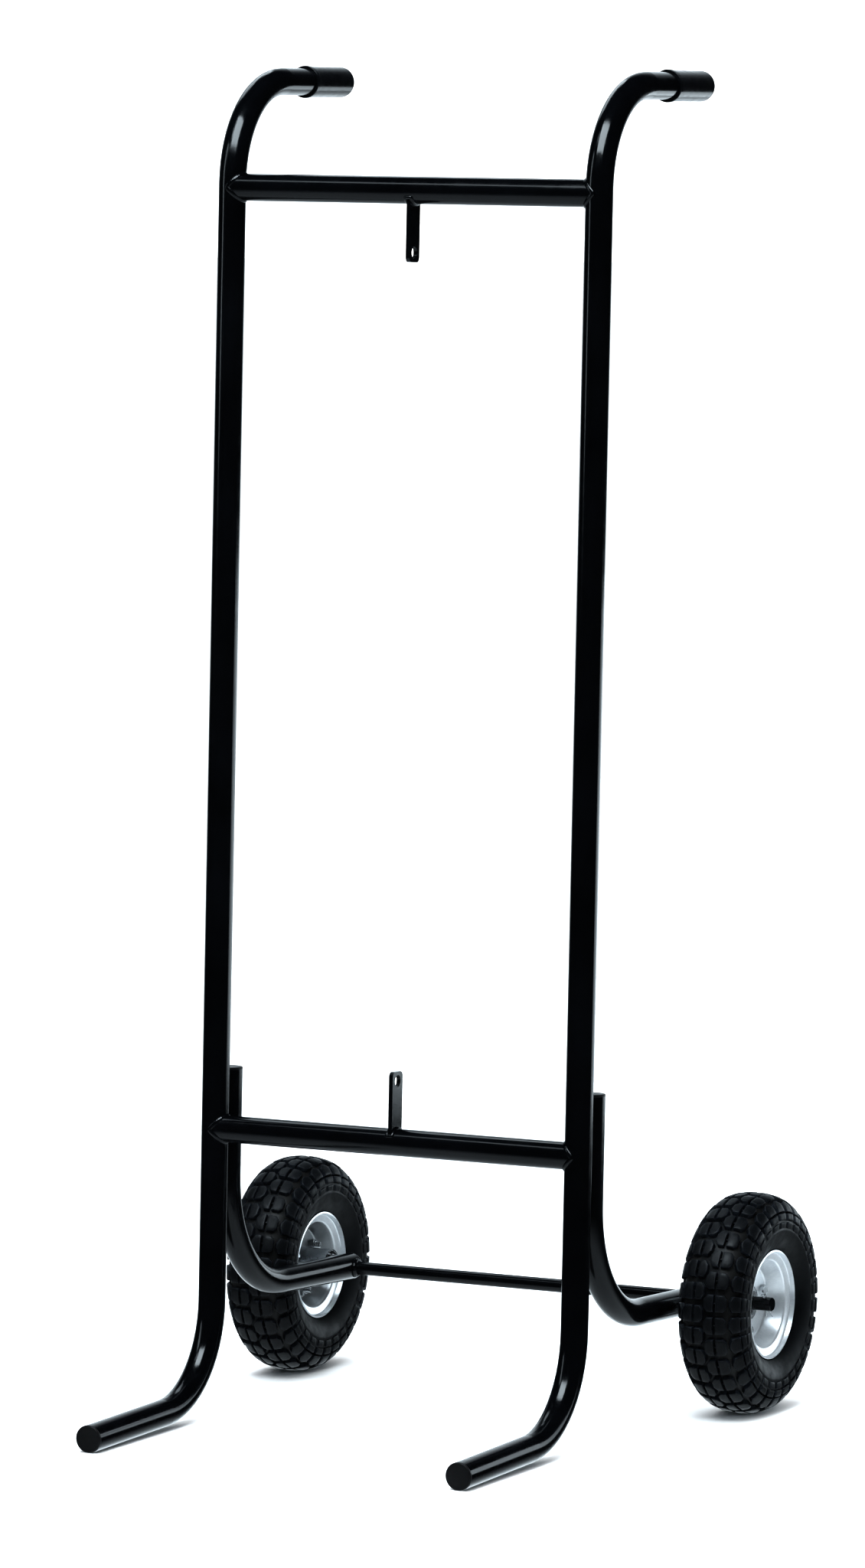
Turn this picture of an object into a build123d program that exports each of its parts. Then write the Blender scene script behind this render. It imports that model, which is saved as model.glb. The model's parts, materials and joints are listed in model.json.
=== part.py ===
from build123d import *
import os
from math import cos, hypot, radians, sin, sqrt, tan

# Firewood log rack on wheels: a welded frame of bent round tube that stands on two feet and two
# pneumatic wheels. Logs lie across the feet and lean on the uprights; tipped back by the two
# handles, the rack rolls as a hand truck.
#
# Frame: millimetres, +Z up, +X to the side, the log side faces -Y and the wheels are on the +Y side.
# The origin is on the floor, under the centre of the bounding box.

# ---------------------------------------------------------------- driving dimensions

# Frame tube
TUBE_R = 16.0
TUBE_WALL = 2.0
TUBE_BORE_R = TUBE_R - TUBE_WALL

# Rails: each is one tube bent into foot, upright and handle
RAIL_X = 235.0                 # rail centre from the middle of the rack
HANDLE_Z = 1554.0              # axis of the handles
FOOT_REACH = 292.0             # bend corner to the face of the foot plug
HANDLE_REACH = 272.0           # bend corner to the closed end of the grip
RAIL_BEND_R = 120.0
LEAN = radians(1.2)            # the uprights lean back
FOOT_SLOPE = radians(1.2)      # the feet run down to their tips

# Crossbars, coped to the uprights
CROSSBAR_R = 15.9
UPPER_CROSSBAR_Z = 1432.0
LOWER_CROSSBAR_Z = 338.0

# Lugs on the middle of the crossbars
LUG_WIDTH = 25.0
LUG_THICKNESS = 5.0
LUG_REACH = 82.0               # crossbar axis to the free end
LUG_CORNER_R = 6.0
LUG_HOLE_R = 7.0
LUG_HOLE_INSET = 11.0

# Wheel arms: each is a tube welded behind the upright and bent back to the axle
ARM_TOP_Z = 407.0
ARM_BEND_R = 140.0
ARM_DROP = radians(2.2)        # the rear run falls towards the axle
ARM_TAIL = 15.0                # axle axis to the rear plug's face

# Plastic tube plugs
PLUG_LIP = 3.0
PLUG_INSERT = 15.0
REAR_PLUG_INSERT = 3.5         # stops short of the axle
PLUG_ROUND = 1.5

# Handle grips: closed sleeves with a bead at the open end
GRIP_R = 18.0
GRIP_LENGTH = 98.0
GRIP_END_WALL = 3.0
GRIP_END_ROUND = 7.0
GRIP_BEAD_R = 19.0
GRIP_BEAD_WIDTH = 7.0
GRIP_BEAD_ROUND = 0.9

# Axle
AXLE_R = 8.0
AXLE_HALF_LENGTH = 330.0
AXLE_CHAMFER = 1.0
AXLE_BEHIND = 342.0            # axle axis behind the rails' bend corner
PIN_X = 321.5                  # cotter pin from the middle of the rack
PIN_HOLE_R = 1.75
PIN_TILT = 30.0                # degrees that the pin's eye leans towards -Y
PIN_WIRE_R = 0.8
PIN_LEG_X = 0.9                # leg centre from the pin's centre line
PIN_EYE_R = 2.6
PIN_BEND_AT = 1.5              # below the axle, where the legs spread
PIN_BEND_R = 3.0
PIN_SPREAD = 4.0
PIN_TAIL = 10.5

# Wheels
WHEEL_X = 299.0                # tyre centre plane from the middle of the rack
TYRE_R = 130.0
TYRE_HALF_WIDTH = 42.5
CROWN_R = 85.0                 # curvature across the tread
WIDEST_R = 98.0                # radius at which the tyre is widest

# Rim: two pressed steel halves bolted together on the centre plane
RIM_SHEET = 2.0
RIM_DISC_R = 43.5
RIM_MOUTH = (23.5, 51.8)       # where the barrel turns out into the flange
RIM_FLANGE = (26.0, 60.8)
RIM_LIP = (31.5, 62.3)
RIM_BEND_R = 3.0
BOLT_COUNT = 3
BOLT_CIRCLE_R = 33.0
BOLT_START_ANGLE = {"left": 35.0, "right": 18.0}    # first bolt above the rearward direction
BOLT_R = 4.0
BOLT_LENGTH = 18.0
BOLT_CLEARANCE = 0.2
HEX_ACROSS_FLATS = 13.0
BOLT_HEAD = 5.3
NUT_HEIGHT = 8.0

# Hub and bearings
HUB_R = 20.0
HUB_BORE_R = 15.0
HUB_INNER = -44.5              # hub ends, outboard of the centre plane
HUB_OUTER = 3.0
BEARING_R = 17.5
BEARING_WIDTH = 11.0
OUTER_RACE_BORE_R = 14.5
INNER_RACE_R = 11.0
RACE_SLIP = 0.03               # radial clearance of the inner races on the axle
BALL_R = 3.0
BALL_COUNT = 8
GROOVE_CLEARANCE = 0.1
PITCH_R = (OUTER_RACE_BORE_R + INNER_RACE_R) / 2
CAGE_WALL = 1.1
CAGE_WIDTH = 8.0
POCKET_CLEARANCE = 0.05
SEAL_THICKNESS = 0.8
SEAL_INSET = 0.4
SEAL_GAP = 0.4

# Washers on the axle
WASHER_R = 14.0
WASHER_BORE_R = 8.25
WASHER_THICKNESS = 2.5
OUTER_WASHER_GAP = 0.3

# Valve: through the barrel of the outer rim half, into the inner tube
VALVE_ANGLE = radians(184)     # round the axle, from the rearward direction
VALVE_FOOT = (8.5, 46.0)       # where its axis meets the barrel
VALVE_SLANT = radians(45)
VALVE_R = 4.0
VALVE_OUTSIDE = 13.0
VALVE_INSIDE = 7.0
VALVE_HOLE_R = 4.3
CAP_R = 4.8
CAP_LENGTH = 7.5
CAP_OVERLAP = 5.5
CAP_ROUND = 1.0

# Tyre section
TREAD_THICKNESS = 9.0
SIDEWALL_THICKNESS = 5.0
BEAD_TOE = 13.0                # bead toe and heel, outboard of the centre plane
BEAD_HEEL = 20.6
RIM_GAP = 0.3                  # rubber to rim
RIM_COVER = 1.2                # rubber outside the flange and the lip
FLANGE_INSET = 0.5
LIP_INSET = 1.0
BEAD_CHEEK = (1.5, 7.0)        # from the bead toe to the foot of the cavity
TUBE_SHELL = 2.0
TUBE_INSET = 1.0               # inner tube inboard of the bead toe
TUBE_CHEEK = 6.0               # height of the inner tube's side above its seat
TUBE_SEAT_X = 3.0              # where the inner tube's seat turns flat

# ---------------------------------------------------------------- places worked out from them

# How far the foot plugs stand in front of the bend corner, and how far the tyres stand behind it
round_x = FOOT_REACH - PLUG_ROUND
round_r = TUBE_R - PLUG_ROUND
FRONT_REACH = round_x * cos(FOOT_SLOPE) + round_r * sin(FOOT_SLOPE) + PLUG_ROUND
REAR_REACH = AXLE_BEHIND + TYRE_R

# The bend corner of the rails: the foot plugs' lowest points are on the floor
CORNER_Y = (FRONT_REACH - REAR_REACH) / 2
CORNER_Z = round_x * sin(FOOT_SLOPE) + round_r * cos(FOOT_SLOPE) + PLUG_ROUND

AXLE_Y = CORNER_Y + AXLE_BEHIND
AXLE_Z = TYRE_R
HANDS = ((-1, "left"), (1, "right"))


def on_upright(z):
    """The point (y, z) of the uprights' axis at height z."""
    return (CORNER_Y + (z - CORNER_Z) * tan(LEAN), z)


def side_plane(x, y, z, outboard=1):
    """Plane across the X axis at a point, with its own x along +Y and its own y up."""
    return Plane(origin=(x, y, z), x_dir=(0, outboard, 0), z_dir=(outboard, 0, 0))


def wheel_section(side, direction):
    """Plane through the wheel's axis: its own x is outboard (direction 1) or inboard (-1)."""
    way = side * direction
    centre = (side * WHEEL_X, AXLE_Y, AXLE_Z)
    return Plane(origin=centre, x_dir=(way, 0, 0), z_dir=(0, -way, 0))


def wheel_face(side):
    """The wheel's centre plane: angles run from the rearward direction up."""
    return side_plane(side * WHEEL_X, AXLE_Y, AXLE_Z)


AXLE_LINE = Axis((0, AXLE_Y, AXLE_Z), (1, 0, 0))


def keep(part, name):
    """Label a finished piece and write its STEP file."""
    part.label = name
    export_step(part, f"parts/{name}.step")


os.makedirs("parts", exist_ok=True)

# ---------------------------------------------------------------- frame tubes

foot_end = (
    CORNER_Y - (FOOT_REACH - PLUG_LIP) * cos(FOOT_SLOPE),
    CORNER_Z - (FOOT_REACH - PLUG_LIP) * sin(FOOT_SLOPE),
)
rail_top = on_upright(HANDLE_Z)
handle_end_y = rail_top[0] + HANDLE_REACH
rail_line = (foot_end, (CORNER_Y, CORNER_Z), rail_top, (handle_end_y - GRIP_END_WALL, HANDLE_Z))

# The arms' upright run touches the rails along a line
arm_start_y = CORNER_Y + 2 * TUBE_R / cos(LEAN)
fall = AXLE_Z + AXLE_Y * tan(ARM_DROP)
arm_corner_y = (arm_start_y + (fall - CORNER_Z) * tan(LEAN)) / (1 + tan(ARM_DROP) * tan(LEAN))
arm_corner_z = fall - arm_corner_y * tan(ARM_DROP)
arm_top_z = ARM_TOP_Z - PLUG_LIP
arm_top_y = arm_start_y + (arm_top_z - CORNER_Z) * tan(LEAN)
arm_end_y = AXLE_Y + (ARM_TAIL - PLUG_LIP) * cos(ARM_DROP)
arm_end_z = AXLE_Z - (ARM_TAIL - PLUG_LIP) * sin(ARM_DROP)
arm_line = ((arm_top_y, arm_top_z), (arm_corner_y, arm_corner_z), (arm_end_y, arm_end_z))


def bent_bar(x, points, bend_r, bore_r=0):
    """Round bar or tube along a bent line in the plane across X at x."""
    with BuildPart() as bar:
        with BuildLine(side_plane(x, 0, 0)) as line:
            FilletPolyline(*points, radius=bend_r)
        with BuildSketch(Plane(origin=line.line @ 0, z_dir=line.line % 0)):
            Circle(TUBE_R)
            if bore_r:
                Circle(bore_r, mode=Mode.SUBTRACT)
        sweep()
    return bar.part


for side, hand in HANDS:
    with BuildPart() as rail:
        add(bent_bar(side * RAIL_X, rail_line, RAIL_BEND_R, TUBE_BORE_R))
    keep(rail.part, f"{hand}_rail")

    # Wheel arm, drilled right through for the axle
    with BuildPart() as arm:
        add(bent_bar(side * RAIL_X, arm_line, ARM_BEND_R, TUBE_BORE_R))
        with BuildSketch(side_plane(side * RAIL_X, AXLE_Y, AXLE_Z)):
            Circle(AXLE_R)
        extrude(amount=2 * TUBE_R, both=True, mode=Mode.SUBTRACT)
    keep(arm.part, f"{hand}_wheel_arm")

for name, height in (("upper_crossbar", UPPER_CROSSBAR_Z), ("lower_crossbar", LOWER_CROSSBAR_Z)):
    # Straight tube with both ends coped to the round of the rails
    bar_y, bar_z = on_upright(height)
    with BuildPart() as crossbar:
        with BuildSketch(side_plane(0, bar_y, bar_z)):
            Circle(CROSSBAR_R)
            Circle(CROSSBAR_R - TUBE_WALL, mode=Mode.SUBTRACT)
        extrude(amount=RAIL_X, both=True)
        for side, hand in HANDS:
            add(bent_bar(side * RAIL_X, rail_line, RAIL_BEND_R), mode=Mode.SUBTRACT)
    keep(crossbar.part, name)

# ---------------------------------------------------------------- lugs

for name, height, way in (("upper_lug", UPPER_CROSSBAR_Z, -1), ("lower_lug", LOWER_CROSSBAR_Z, 1)):
    # Flat bar with a hole, set edge-on to the logs and coped to the crossbar
    bar_y, bar_z = on_upright(height)
    lug_plane = Plane(origin=(0, bar_y, bar_z), x_dir=(0, cos(LEAN), -sin(LEAN)), z_dir=(1, 0, 0))
    with BuildPart() as lug:
        with BuildSketch(lug_plane) as outline:
            with Locations((0, way * LUG_REACH / 2)):
                Rectangle(LUG_WIDTH, LUG_REACH)
            fillet(outline.vertices().group_by(Axis.Y)[0 if way < 0 else -1], LUG_CORNER_R)
            with Locations((0, way * (LUG_REACH - LUG_HOLE_INSET))):
                Circle(LUG_HOLE_R, mode=Mode.SUBTRACT)
        extrude(amount=LUG_THICKNESS / 2, both=True)
        with BuildSketch(side_plane(0, bar_y, bar_z)):
            Circle(CROSSBAR_R)
        extrude(amount=LUG_THICKNESS, both=True, mode=Mode.SUBTRACT)
    keep(lug.part, name)

# ---------------------------------------------------------------- plugs and grips


def tube_plug(end, insert):
    """Plastic plug for an open tube end; the plane lies on the end and faces out of it."""
    with BuildPart() as plug:
        with BuildSketch(end):
            Circle(TUBE_R)
        extrude(amount=PLUG_LIP)
        fillet(plug.faces().sort_by(Axis(end.origin, end.z_dir))[-1].edges(), PLUG_ROUND)
        with BuildSketch(end):
            Circle(TUBE_BORE_R)
        extrude(amount=-insert)
    return plug.part


for side, hand in HANDS:
    x = side * RAIL_X
    # Where each open end is, which way it faces, and how far its plug goes in
    plug_ends = {
        "foot_plug": (foot_end, (-cos(FOOT_SLOPE), -sin(FOOT_SLOPE)), PLUG_INSERT),
        "arm_top_plug": ((arm_top_y, arm_top_z), (sin(LEAN), cos(LEAN)), PLUG_INSERT),
        "arm_rear_plug": ((arm_end_y, arm_end_z), (cos(ARM_DROP), -sin(ARM_DROP)), REAR_PLUG_INSERT),
    }
    for name, (place, facing, insert) in plug_ends.items():
        end = Plane(origin=(x, *place), x_dir=(1, 0, 0), z_dir=(0, *facing))
        with BuildPart() as plug:
            add(tube_plug(end, insert))
        keep(plug.part, f"{hand}_{name}")

    # Grip: a sleeve over the handle, closed and rounded at the rear, with a bead at the front
    grip_front_y = handle_end_y - GRIP_LENGTH
    with BuildPart() as grip:
        with BuildSketch(side_plane(x, grip_front_y, HANDLE_Z)):
            Rectangle(GRIP_LENGTH, GRIP_R, align=Align.MIN)
            Rectangle(GRIP_BEAD_WIDTH, GRIP_BEAD_R, align=Align.MIN)
        revolve(axis=Axis((x, 0, HANDLE_Z), (0, 1, 0)))
        fillet(grip.faces().sort_by(Axis.Y)[-1].edges(), GRIP_END_ROUND)
        fillet(grip.edges().filter_by(GeomType.CIRCLE).group_by(SortBy.RADIUS)[-1], GRIP_BEAD_ROUND)
        with BuildSketch(Plane(origin=(x, grip_front_y, HANDLE_Z), x_dir=(1, 0, 0), z_dir=(0, 1, 0))):
            Circle(TUBE_R)
        extrude(amount=GRIP_LENGTH - GRIP_END_WALL, mode=Mode.SUBTRACT)
    keep(grip.part, f"{hand}_grip")

# ---------------------------------------------------------------- axle, pins and washers


def pin_plane(side):
    """Plane of a cotter pin: its own y runs along the pin to its eye, which leans towards -Y."""
    tilt = radians(PIN_TILT)
    return Plane(origin=(side * PIN_X, AXLE_Y, AXLE_Z), x_dir=(1, 0, 0), z_dir=(0, -cos(tilt), -sin(tilt)))


with BuildPart() as axle:
    with BuildSketch(side_plane(0, AXLE_Y, AXLE_Z)):
        Circle(AXLE_R)
    extrude(amount=AXLE_HALF_LENGTH, both=True)
    chamfer(axle.edges().filter_by(GeomType.CIRCLE), AXLE_CHAMFER)
    for side, hand in HANDS:
        across = pin_plane(side)
        with BuildSketch(Plane(origin=across.origin, x_dir=across.x_dir, z_dir=across.y_dir)):
            Circle(PIN_HOLE_R)
        extrude(amount=2 * AXLE_R, both=True, mode=Mode.SUBTRACT)
keep(axle.part, "axle")

eye_y = AXLE_R + PIN_EYE_R + 2 * PIN_WIRE_R
for side, hand in HANDS:
    # Split pin: an eye above the axle and two legs through it, spread below
    with BuildPart() as pin:
        with Locations(pin_plane(side)):
            with Locations((0, eye_y)):
                Torus(PIN_EYE_R, PIN_WIRE_R)
        for way in (-1, 1):
            top = (way * PIN_LEG_X, AXLE_R + 2 * PIN_WIRE_R)
            bend = (way * PIN_LEG_X, -AXLE_R - PIN_BEND_AT)
            tail = (way * PIN_SPREAD, -AXLE_R - PIN_TAIL)
            with BuildLine(pin_plane(side)) as route:
                FilletPolyline(top, bend, tail, radius=PIN_BEND_R)
            with BuildSketch(Plane(origin=route.line @ 0, z_dir=route.line % 0)):
                Circle(PIN_WIRE_R)
            sweep()
    keep(pin.part, f"{hand}_cotter_pin")

    washer_starts = {
        "inner_washer": RAIL_X + TUBE_R,
        "outer_washer": WHEEL_X + HUB_OUTER + OUTER_WASHER_GAP,
    }
    for name, start in washer_starts.items():
        with BuildPart() as washer:
            with BuildSketch(side_plane(side * start, AXLE_Y, AXLE_Z)):
                Circle(WASHER_R)
                Circle(WASHER_BORE_R, mode=Mode.SUBTRACT)
            extrude(amount=side * WASHER_THICKNESS)
        keep(washer.part, f"{hand}_{name}")

# ---------------------------------------------------------------- rims and hubs


def valve_plane(side):
    """Plane across the valve where its axis meets the barrel; it faces out of the rim."""
    out, up = VALVE_FOOT
    radial_y, radial_z = cos(VALVE_ANGLE), sin(VALVE_ANGLE)
    inward = -sin(VALVE_SLANT)
    origin = (side * (WHEEL_X + out), AXLE_Y + up * radial_y, AXLE_Z + up * radial_z)
    return Plane(origin=origin, z_dir=(side * cos(VALVE_SLANT), inward * radial_y, inward * radial_z))


for side, hand in HANDS:
    for half, direction in (("outer", 1), ("inner", -1)):
        # Pressed half: disc on the centre plane, barrel, and a flange with its lip turned out
        with BuildPart() as rim_half:
            with BuildSketch(wheel_section(side, direction)):
                with BuildLine():
                    FilletPolyline((RIM_SHEET, HUB_R), (RIM_SHEET, RIM_DISC_R), RIM_MOUTH, RIM_FLANGE,
                                   RIM_LIP, radius=(RIM_BEND_R, RIM_BEND_R, RIM_BEND_R / 2))
                    offset(amount=RIM_SHEET, side=Side.LEFT)
                make_face()
            revolve(axis=AXLE_LINE)
            with BuildSketch(wheel_face(side)):
                with PolarLocations(BOLT_CIRCLE_R, BOLT_COUNT, start_angle=BOLT_START_ANGLE[hand]):
                    Circle(BOLT_R + BOLT_CLEARANCE)
            extrude(amount=RIM_DISC_R, both=True, mode=Mode.SUBTRACT)
            if half == "outer":
                with BuildSketch(valve_plane(side)):
                    Circle(VALVE_HOLE_R)
                extrude(amount=VALVE_INSIDE, both=True, mode=Mode.SUBTRACT)
        keep(rim_half.part, f"{hand}_{half}_rim_half")

    # Hub tube, counterbored at both ends for the bearings
    hub_length = HUB_OUTER - HUB_INNER
    with BuildPart() as hub:
        with BuildSketch(side_plane(side * (WHEEL_X + HUB_INNER), AXLE_Y, AXLE_Z)):
            Circle(HUB_R)
            Circle(HUB_BORE_R, mode=Mode.SUBTRACT)
        extrude(amount=side * hub_length)
        for start, way in ((HUB_INNER, 1), (HUB_OUTER, -1)):
            with BuildSketch(side_plane(side * (WHEEL_X + start), AXLE_Y, AXLE_Z)):
                Circle(BEARING_R)
            extrude(amount=side * way * BEARING_WIDTH, mode=Mode.SUBTRACT)
    keep(hub.part, f"{hand}_hub")

    # Bolts from outside, lock nuts inside
    with BuildPart() as bolts:
        with BuildSketch(side_plane(side * (WHEEL_X + RIM_SHEET), AXLE_Y, AXLE_Z)):
            with PolarLocations(BOLT_CIRCLE_R, BOLT_COUNT, start_angle=BOLT_START_ANGLE[hand]):
                RegularPolygon(HEX_ACROSS_FLATS / 2, 6, major_radius=False)
        extrude(amount=side * BOLT_HEAD)
        with BuildSketch(side_plane(side * (WHEEL_X + RIM_SHEET), AXLE_Y, AXLE_Z)):
            with PolarLocations(BOLT_CIRCLE_R, BOLT_COUNT, start_angle=BOLT_START_ANGLE[hand]):
                Circle(BOLT_R)
        extrude(amount=-side * BOLT_LENGTH)
    keep(bolts.part, f"{hand}_rim_bolts")

    with BuildPart() as nuts:
        with BuildSketch(side_plane(side * (WHEEL_X - RIM_SHEET), AXLE_Y, AXLE_Z)):
            with PolarLocations(BOLT_CIRCLE_R, BOLT_COUNT, start_angle=BOLT_START_ANGLE[hand]):
                RegularPolygon(HEX_ACROSS_FLATS / 2, 6, major_radius=False)
                Circle(BOLT_R, mode=Mode.SUBTRACT)
        extrude(amount=-side * NUT_HEIGHT)
    keep(nuts.part, f"{hand}_rim_nuts")

# ---------------------------------------------------------------- bearings

BEARING_CENTRES = (HUB_INNER + BEARING_WIDTH / 2, HUB_OUTER - BEARING_WIDTH / 2)


def race(side, inner_r, outer_r):
    """Both bearings' rings between two radii, each with its ball groove."""
    with BuildPart() as rings:
        with BuildSketch(wheel_section(side, 1)):
            for centre in BEARING_CENTRES:
                with Locations((centre, (inner_r + outer_r) / 2)):
                    Rectangle(BEARING_WIDTH, outer_r - inner_r)
                with Locations((centre, PITCH_R)):
                    Circle(BALL_R + GROOVE_CLEARANCE, mode=Mode.SUBTRACT)
        revolve(axis=AXLE_LINE)
    return rings.part


def ball_places(side, centre):
    """Where one bearing's balls are: a circle round the axle."""
    across = side_plane(side * (WHEEL_X + centre), AXLE_Y, AXLE_Z)
    return [across * place for place in PolarLocations(PITCH_R, BALL_COUNT).local_locations]


for side, hand in HANDS:
    with BuildPart() as outer_races:
        add(race(side, OUTER_RACE_BORE_R, BEARING_R))
    keep(outer_races.part, f"{hand}_bearing_outer_races")

    with BuildPart() as inner_races:
        add(race(side, AXLE_R + RACE_SLIP, INNER_RACE_R))
    keep(inner_races.part, f"{hand}_bearing_inner_races")

    with BuildPart() as balls:
        for centre in BEARING_CENTRES:
            with Locations(*ball_places(side, centre)):
                Sphere(BALL_R)
    keep(balls.part, f"{hand}_bearing_balls")

    # Cages: thin rings with a pocket round each ball
    with BuildPart() as cages:
        for centre in BEARING_CENTRES:
            with BuildSketch(side_plane(side * (WHEEL_X + centre), AXLE_Y, AXLE_Z)):
                Circle(PITCH_R + CAGE_WALL / 2)
                Circle(PITCH_R - CAGE_WALL / 2, mode=Mode.SUBTRACT)
            extrude(amount=CAGE_WIDTH / 2, both=True)
        for centre in BEARING_CENTRES:
            with Locations(*ball_places(side, centre)):
                Cylinder(BALL_R + POCKET_CLEARANCE, 4 * CAGE_WALL, rotation=(0, 90, 0), mode=Mode.SUBTRACT)
    keep(cages.part, f"{hand}_bearing_cages")

    # Seals: fixed in the outer races, clear of the inner ones
    with BuildPart() as seals:
        for centre in BEARING_CENTRES:
            for way in (-1, 1):
                seal_x = centre + way * (BEARING_WIDTH / 2 - SEAL_INSET)
                with BuildSketch(side_plane(side * (WHEEL_X + seal_x), AXLE_Y, AXLE_Z)):
                    Circle(OUTER_RACE_BORE_R)
                    Circle(INNER_RACE_R + SEAL_GAP, mode=Mode.SUBTRACT)
                extrude(amount=-side * way * SEAL_THICKNESS)
    keep(seals.part, f"{hand}_bearing_seals")

# ---------------------------------------------------------------- tyres, tubes and valves

# Tread arc, shoulder arc tangent to it, and sidewall arc, all meeting smoothly
crown_centre_r = TYRE_R - CROWN_R
rise = WIDEST_R - crown_centre_r
SHOULDER_R = (CROWN_R**2 - TYRE_HALF_WIDTH**2 - rise**2) / (2 * (CROWN_R - TYRE_HALF_WIDTH))
shoulder_x = TYRE_HALF_WIDTH - SHOULDER_R
reach = hypot(shoulder_x, rise)
tread_edge = (CROWN_R * shoulder_x / reach, crown_centre_r + CROWN_R * rise / reach)

mouth_x, mouth_r = RIM_MOUTH
barrel_slope = (mouth_r - RIM_DISC_R) / (mouth_x - RIM_SHEET)


def seat_r(x):
    """Radius of the rubber's seat on the barrel's outer side."""
    barrel = RIM_DISC_R + barrel_slope * (x - RIM_SHEET)
    return barrel + (RIM_SHEET + RIM_GAP) * sqrt(1 + barrel_slope**2)


flange_x, flange_r = RIM_FLANGE
lip_x, lip_r = RIM_LIP
over_flange = (flange_x - RIM_SHEET - FLANGE_INSET, flange_r + RIM_SHEET + RIM_COVER)
over_lip = (lip_x - LIP_INSET, lip_r + RIM_SHEET + RIM_COVER)
cavity_top = (0, TYRE_R - TREAD_THICKNESS)
cavity_side = (TYRE_HALF_WIDTH - SIDEWALL_THICKNESS, WIDEST_R)
cavity_foot = (BEAD_TOE + BEAD_CHEEK[0], seat_r(BEAD_TOE) + BEAD_CHEEK[1])
toe = (BEAD_TOE, seat_r(BEAD_TOE))


for side, hand in HANDS:
    # Tyre: one section, mirrored across the centre plane
    with BuildPart() as tyre:
        with BuildSketch(wheel_section(side, 1)):
            with BuildLine():
                crown = TangentArc((0, TYRE_R), tread_edge, tangent=(1, 0))
                TangentArc(tread_edge, (TYRE_HALF_WIDTH, WIDEST_R), tangent=crown % 1)
                TangentArc((TYRE_HALF_WIDTH, WIDEST_R), over_lip, tangent=(0, -1))
                Polyline(over_lip, over_flange, (BEAD_HEEL, seat_r(BEAD_HEEL)), toe, cavity_foot)
                inside = TangentArc(cavity_side, cavity_foot, tangent=(0, -1))
                TangentArc(cavity_side, cavity_top, tangent=(0, 1))
                Line(cavity_top, (0, TYRE_R))
            make_face()
            mirror(about=Plane.YZ)
        revolve(axis=AXLE_LINE)
    keep(tyre.part, f"{hand}_tyre")

    # Inner tube: fills the space between tyre and barrel, with a thin wall
    with BuildPart() as inner_tube:
        with BuildSketch(wheel_section(side, 1)):
            with BuildLine():
                top = (0, cavity_top[1] - RIM_GAP)
                flank = (cavity_side[0] - RIM_GAP, WIDEST_R)
                foot = (BEAD_TOE - TUBE_INSET, seat_r(BEAD_TOE) + TUBE_CHEEK)
                root = (BEAD_TOE - TUBE_INSET, seat_r(BEAD_TOE - TUBE_INSET))
                TangentArc(flank, top, tangent=(0, 1))
                TangentArc(flank, foot, tangent=(0, -1))
                Polyline(foot, root, (TUBE_SEAT_X, seat_r(TUBE_SEAT_X)), (0, seat_r(TUBE_SEAT_X)), top)
            make_face()
            mirror(about=Plane.YZ)
            offset(amount=-TUBE_SHELL, mode=Mode.SUBTRACT)
        revolve(axis=AXLE_LINE)
        with BuildSketch(valve_plane(side)):
            Circle(VALVE_R)
        extrude(amount=2 * VALVE_INSIDE, both=True, mode=Mode.SUBTRACT)
    keep(inner_tube.part, f"{hand}_inner_tube")

    with BuildPart() as valve_stem:
        with BuildSketch(valve_plane(side).offset(-VALVE_INSIDE)):
            Circle(VALVE_R)
        extrude(amount=VALVE_INSIDE + VALVE_OUTSIDE)
    keep(valve_stem.part, f"{hand}_valve_stem")

    cap_mouth = valve_plane(side).offset(VALVE_OUTSIDE - CAP_OVERLAP)
    with BuildPart() as valve_cap:
        with BuildSketch(cap_mouth):
            Circle(CAP_R)
        extrude(amount=CAP_LENGTH)
        fillet(valve_cap.faces().sort_by(Axis(cap_mouth.origin, cap_mouth.z_dir))[-1].edges(), CAP_ROUND)
        with BuildSketch(cap_mouth):
            Circle(VALVE_R)
        extrude(amount=CAP_OVERLAP, mode=Mode.SUBTRACT)
    keep(valve_cap.part, f"{hand}_valve_cap")
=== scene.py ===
import json
import math
import random

import bmesh
import bpy
from mathutils import Matrix, Vector


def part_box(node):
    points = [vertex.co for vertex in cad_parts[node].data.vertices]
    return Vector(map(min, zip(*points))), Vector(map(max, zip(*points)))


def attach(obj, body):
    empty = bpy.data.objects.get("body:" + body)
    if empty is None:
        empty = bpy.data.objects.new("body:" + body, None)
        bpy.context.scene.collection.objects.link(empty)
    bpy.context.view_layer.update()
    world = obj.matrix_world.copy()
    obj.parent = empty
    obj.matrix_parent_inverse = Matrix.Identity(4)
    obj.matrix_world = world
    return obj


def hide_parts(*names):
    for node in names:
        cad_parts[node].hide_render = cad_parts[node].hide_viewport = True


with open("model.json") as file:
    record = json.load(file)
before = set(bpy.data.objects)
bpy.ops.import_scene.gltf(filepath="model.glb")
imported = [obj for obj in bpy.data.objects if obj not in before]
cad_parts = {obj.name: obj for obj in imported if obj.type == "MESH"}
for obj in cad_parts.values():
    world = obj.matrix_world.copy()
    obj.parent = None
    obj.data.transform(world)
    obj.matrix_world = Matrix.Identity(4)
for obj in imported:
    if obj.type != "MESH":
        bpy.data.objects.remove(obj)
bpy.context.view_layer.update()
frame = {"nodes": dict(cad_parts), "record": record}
NODES = frame["nodes"]
MM = 0.001
HANDS = ((-1, "left"), (1, "right"))
random.seed(7)

# ---------------------------------------------------------------- places read from the frame


def middle(node):
    """Centre of a node's box."""
    low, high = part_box(node)
    return (low + high) / 2


AXLE = middle("axle")
AXLE_R = (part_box("axle")[1].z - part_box("axle")[0].z) / 2
TYRE_LOW, TYRE_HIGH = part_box("right_tyre")
TYRE_R = (TYRE_HIGH.z - TYRE_LOW.z) / 2
TUBE_R = (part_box("right_rail")[1].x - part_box("right_rail")[0].x) / 2
RAIL_X = middle("right_rail").x
WHEEL_X = middle("right_tyre").x

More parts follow.
